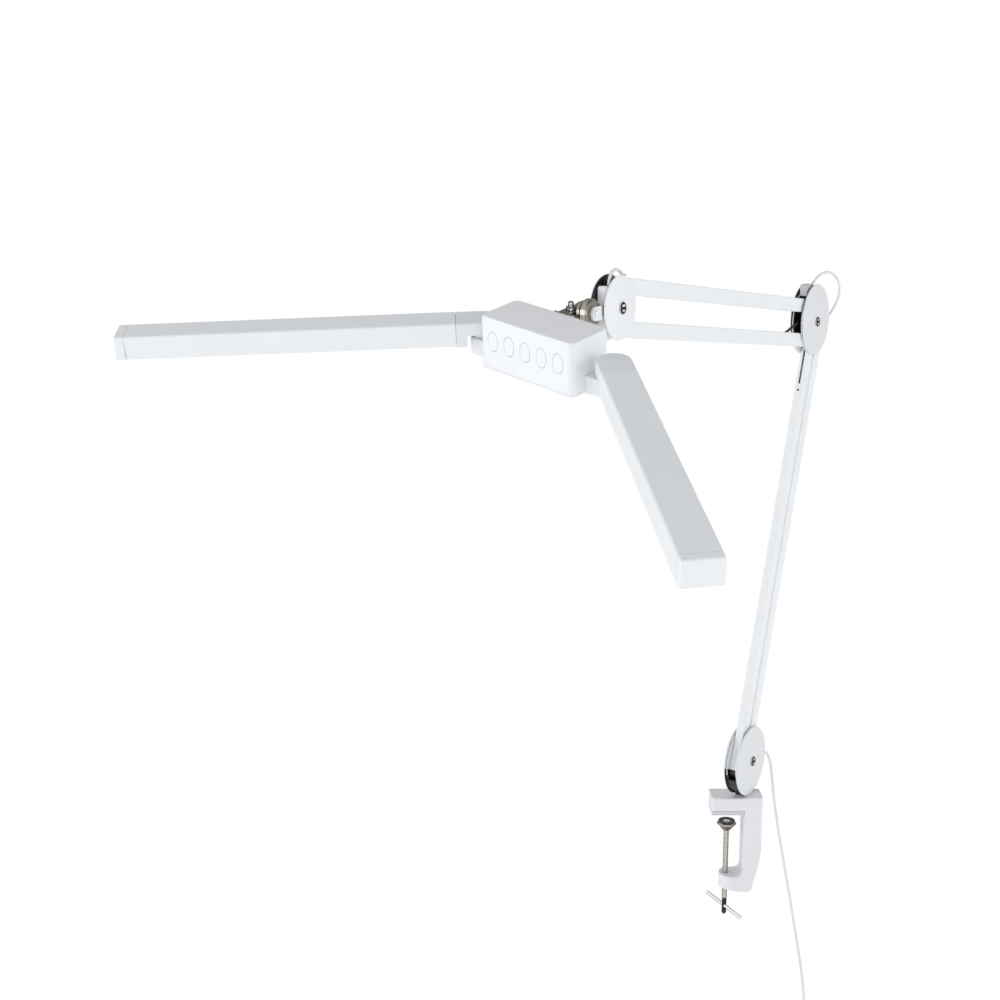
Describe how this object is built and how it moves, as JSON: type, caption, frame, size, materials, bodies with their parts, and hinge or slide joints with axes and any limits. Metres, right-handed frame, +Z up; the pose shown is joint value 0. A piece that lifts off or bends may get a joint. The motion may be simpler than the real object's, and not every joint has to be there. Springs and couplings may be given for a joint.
{
  "type": "swing arm desk lamp",
  "caption": "Clamp-on desk lamp: two parallelogram arms of flat white tubes between round hubs carry a control box with folding light bars; a clamp holds it to a desk edge.",
  "frame": {"origin": "on the clamp screw axis, at the underside of the jaw pad, where the desk top touches it", "axes": "+Z up along the clamp screw, +X from the open side of the clamp towards its spine, +Y to the far side; the arms are stored turned 57 degrees about +Z"},
  "size_m": [0.6884, 0.7924, 0.936],
  "materials": {
    "white_paint": "satin",
    "white_metal": "satin",
    "white_plastic": "satin",
    "diffuser": "matte",
    "black_paint": "satin",
    "black_plastic": "satin",
    "nickel": "polished",
    "steel": "satin",
    "board": "satin",
    "bare_aluminium": "satin",
    "cord_white": "satin"
  },
  "bodies": {
    "clamp": {"clamp_frame": "white_paint", "jaw_pad": "white_plastic", "socket_bush": "white_plastic"},
    "jaw": {"swivel_pad": "nickel"},
    "screw": {"clamp_screw": "nickel"},
    "handle_bar": {"tommy_bar": "nickel"},
    "base": {"base_post": "steel", "base_hub": "black_paint", "base_disc_near": "white_plastic", "base_disc_far": "white_plastic", "base_screw_near": "nickel", "base_screw_far": "nickel", "cord_gland": "white_plastic", "power_cord": "cord_white", "cord_coil": "cord_white", "cord_plug": "cord_white"},
    "lower_front": {"lower_front_tube": "white_paint", "lower_spring": "steel"},
    "lower_rear": {"lower_rear_tube": "white_paint"},
    "elbow": {"elbow_hub": "black_paint", "elbow_disc_near": "white_plastic", "elbow_disc_far": "white_plastic", "elbow_bolt": "nickel", "lead_clip": "black_plastic", "elbow_lead": "cord_white"},
    "upper_top": {"upper_top_tube": "white_paint"},
    "upper_bottom": {"upper_bottom_tube": "white_paint", "upper_spring": "black_paint"},
    "head_end": {"head_hub": "black_paint", "head_yoke": "white_paint", "head_disc_near": "white_plastic", "head_disc_far": "white_plastic", "head_bolt": "nickel", "head_lead": "cord_white"},
    "knuckle": {"tilt_washer": "black_plastic", "tilt_bolt": "nickel", "knuckle": "nickel"},
    "stem": {"stem": "nickel", "swivel_pin": "nickel"},
    "head": {"head_bracket": "nickel", "housing": "white_plastic", "bottom_cover": "white_plastic", "control_board": "board", "left_hinge_pin": "white_plastic", "right_hinge_pin": "white_plastic"},
    "left_bar": {"left_hinge_cap": "white_plastic", "left_bar_shell": "white_metal", "left_end_cap": "white_plastic", "left_diffuser": "diffuser", "left_led_strip": "bare_aluminium"},
    "right_bar": {"right_hinge_cap": "white_plastic", "right_bar_shell": "white_metal", "right_end_cap": "white_plastic", "right_diffuser": "diffuser", "right_led_strip": "bare_aluminium"},
    "button_1": {"button_1": "white_plastic"},
    "button_2": {"button_2": "white_plastic"},
    "button_3": {"button_3": "white_plastic"},
    "button_4": {"button_4": "white_plastic"},
    "button_5": {"button_5": "white_plastic"}
  },
  "joints": [
    {"name": "base_swivel", "type": "hinge", "parent": "clamp", "child": "base", "pos_m": [0.017, 0, 0.057], "axis": [0, 0, 1], "range_deg": [-170, 170]},
    {"name": "lower_arm_tilt", "type": "hinge", "parent": "base", "child": "lower_front", "pos_m": [0.00479, -0.0189, 0.052], "axis": [-0.8398, 0.5429, 0], "range_deg": [-55, 23]},
    {"name": "lower_rear_tilt", "type": "hinge", "parent": "base", "child": "lower_rear", "pos_m": [0.01619, -0.00126, 0.052], "axis": [-0.8398, 0.5429, 0], "range_deg": [-55, 23]},
    {"name": "elbow_level", "type": "hinge", "parent": "lower_front", "child": "elbow", "pos_m": [0.09128, 0.11491, 0.49576], "axis": [-0.8398, 0.5429, 0], "range_deg": [-23, 55]},
    {"name": "upper_arm_tilt", "type": "hinge", "parent": "elbow", "child": "upper_top", "pos_m": [0.07717, 0.09307, 0.52586], "axis": [-0.8398, 0.5429, 0], "range_deg": [-35, 45]},
    {"name": "upper_bottom_tilt", "type": "hinge", "parent": "elbow", "child": "upper_bottom", "pos_m": [0.07717, 0.09307, 0.48966], "axis": [-0.8398, 0.5429, 0], "range_deg": [-35, 45]},
    {"name": "head_level", "type": "hinge", "parent": "upper_top", "child": "head_end", "pos_m": [-0.14487, -0.25041, 0.56734], "axis": [-0.8398, 0.5429, 0], "range_deg": [-45, 35], "deforming": ["head_lead"]},
    {"name": "head_tilt", "type": "hinge", "parent": "head_end", "child": "knuckle", "pos_m": [-0.16854, -0.28703, 0.54674], "axis": [-0.8398, 0.5429, 0], "range_deg": [-40, 55]},
    {"name": "head_roll", "type": "hinge", "parent": "knuckle", "child": "stem", "pos_m": [-0.1808, -0.2791, 0.54674], "axis": [0.5228, 0.8087, 0.2696], "range_deg": [-35, 18]},
    {"name": "head_swivel", "type": "hinge", "parent": "stem", "child": "head", "pos_m": [-0.18344, -0.28318, 0.54538], "axis": [-0.0298, -0.2987, 0.9539], "range_deg": [-68, 20]},
    {"name": "left_bar_fold", "type": "hinge", "parent": "head", "child": "left_bar", "pos_m": [-0.25454, -0.24659, 0.51247], "axis": [-0.0298, -0.2987, 0.9539], "range_deg": [-44.8, 45.2]},
    {"name": "right_bar_fold", "type": "hinge", "parent": "head", "child": "right_bar", "pos_m": [-0.15222, -0.33865, 0.48684], "axis": [-0.0298, -0.2987, 0.9539], "range_deg": [-49.5, 40.5]},
    {"name": "button_1_press", "type": "slide", "parent": "head", "child": "button_1", "axis": [0.6819, 0.6917, 0.2379], "range_m": [0, 0.0006], "stiffness_N_per_m": 800, "springref_m": -0.0003},
    {"name": "button_2_press", "type": "slide", "parent": "head", "child": "button_2", "axis": [0.6819, 0.6917, 0.2379], "range_m": [0, 0.0006], "stiffness_N_per_m": 800, "springref_m": -0.0003},
    {"name": "button_3_press", "type": "slide", "parent": "head", "child": "button_3", "axis": [0.6819, 0.6917, 0.2379], "range_m": [0, 0.0006], "stiffness_N_per_m": 800, "springref_m": -0.0003},
    {"name": "button_4_press", "type": "slide", "parent": "head", "child": "button_4", "axis": [0.6819, 0.6917, 0.2379], "range_m": [0, 0.0006], "stiffness_N_per_m": 800, "springref_m": -0.0003},
    {"name": "button_5_press", "type": "slide", "parent": "head", "child": "button_5", "axis": [0.6819, 0.6917, 0.2379], "range_m": [0, 0.0006], "stiffness_N_per_m": 800, "springref_m": -0.0003},
    {"name": "clamp_screw_travel", "type": "slide", "parent": "clamp", "child": "jaw", "axis": [0, 0, 1], "range_m": [-0.04, 0.01]},
    {"name": "clamp_screw_spin", "type": "hinge", "parent": "jaw", "child": "screw", "pos_m": [0, 0, -0.06], "axis": [0, 0, 1], "range_deg": [-9610, 2405]},
    {"name": "tommy_bar_slide", "type": "slide", "parent": "screw", "child": "handle_bar", "axis": [0.4067, -0.9135, 0], "range_m": [-0.024, 0.024]}
  ],
  "couplings": [
    {"joint": "lower_rear_tilt", "follows": "lower_arm_tilt", "ratio": 1},
    {"joint": "elbow_level", "follows": "lower_arm_tilt", "ratio": -1},
    {"joint": "upper_bottom_tilt", "follows": "upper_arm_tilt", "ratio": 1},
    {"joint": "head_level", "follows": "upper_arm_tilt", "ratio": -1},
    {"joint": "clamp_screw_spin", "follows": "clamp_screw_travel", "rad_per_m": 4188.8}
  ]
}
